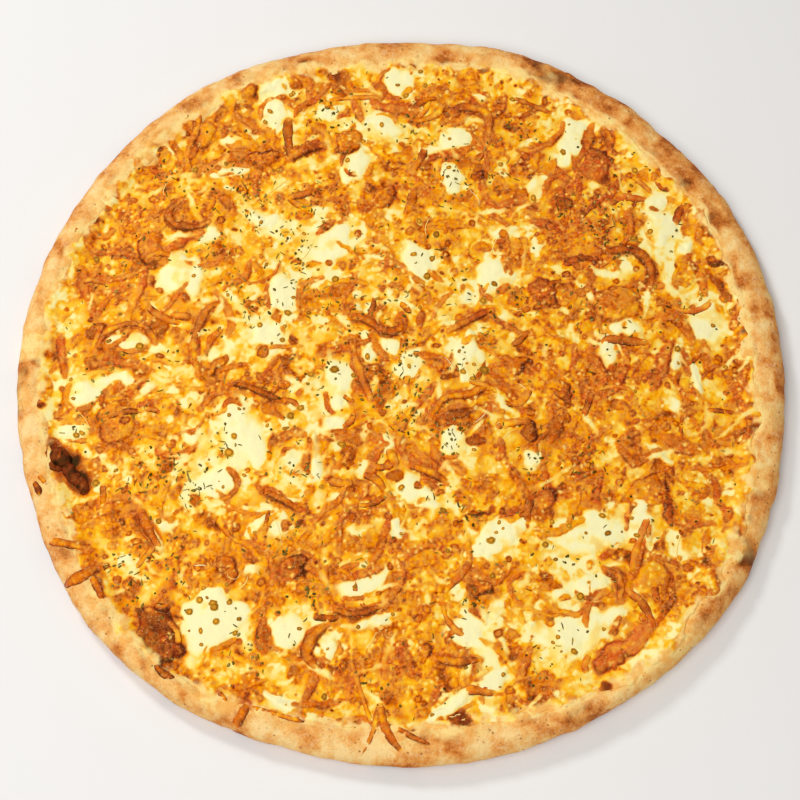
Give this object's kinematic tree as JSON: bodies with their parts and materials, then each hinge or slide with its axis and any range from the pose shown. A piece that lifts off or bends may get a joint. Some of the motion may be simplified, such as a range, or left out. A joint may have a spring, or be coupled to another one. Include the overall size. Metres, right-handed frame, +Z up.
{
  "type": "four cheese pizza",
  "caption": "Whole round baked pizza with a raised rim, a bed of melted cheese, pools of white cheese and browned cheese strips and lumps.",
  "frame": {"origin": "under the middle of the pizza, on its flat underside", "axes": "+Z up through the pizza's thickness; -Y towards the edge that shows the most bare rim"},
  "size_m": [0.3292, 0.3292, 0.0156],
  "materials": {
    "baked_crust": "matte",
    "melted_cheese": "satin",
    "white_cheese": "satin",
    "browned_cheese": "satin",
    "burnt_cheese": "matte"
  },
  "bodies": {
    "root": {"crust": "baked_crust", "melted_cheese": "melted_cheese", "white_cheese_01": "white_cheese", "white_cheese_02": "white_cheese", "white_cheese_03": "white_cheese", "white_cheese_04": "white_cheese", "white_cheese_05": "white_cheese", "white_cheese_06": "white_cheese", "white_cheese_07": "white_cheese", "white_cheese_08": "white_cheese", "white_cheese_09": "white_cheese", "white_cheese_10": "white_cheese", "white_cheese_11": "white_cheese", "white_cheese_12": "white_cheese", "white_cheese_13": "white_cheese", "white_cheese_14": "white_cheese", "white_cheese_15": "white_cheese", "white_cheese_16": "white_cheese", "white_cheese_17": "white_cheese", "white_cheese_18": "white_cheese", "white_cheese_19": "white_cheese", "white_cheese_20": "white_cheese", "white_cheese_21": "white_cheese", "white_cheese_22": "white_cheese", "white_cheese_23": "white_cheese", "white_cheese_24": "white_cheese", "white_cheese_25": "white_cheese", "white_cheese_26": "white_cheese", "white_cheese_27": "white_cheese", "white_cheese_28": "white_cheese", "white_cheese_29": "white_cheese", "white_cheese_30": "white_cheese", "white_cheese_31": "white_cheese", "white_cheese_32": "white_cheese", "white_cheese_33": "white_cheese", "white_cheese_34": "white_cheese", "dark_slab": "browned_cheese", "red_slab": "browned_cheese", "ribbed_lump": "browned_cheese", "fan_lump": "browned_cheese", "burnt_lump": "burnt_cheese", "orange_slab": "browned_cheese", "browned_strip_01": "browned_cheese", "browned_strip_02": "browned_cheese", "browned_strip_03": "browned_cheese", "browned_strip_04": "browned_cheese", "browned_strip_05": "browned_cheese", "browned_strip_06": "browned_cheese", "browned_strip_07": "browned_cheese", "browned_strip_08": "browned_cheese", "browned_strip_09": "browned_cheese", "browned_strip_10": "browned_cheese", "browned_strip_11": "browned_cheese", "browned_strip_12": "browned_cheese", "browned_strip_13": "browned_cheese", "browned_strip_14": "browned_cheese", "browned_strip_15": "browned_cheese", "browned_strip_16": "browned_cheese", "browned_strip_17": "browned_cheese", "browned_strip_18": "browned_cheese"}
  },
  "joints": []
}
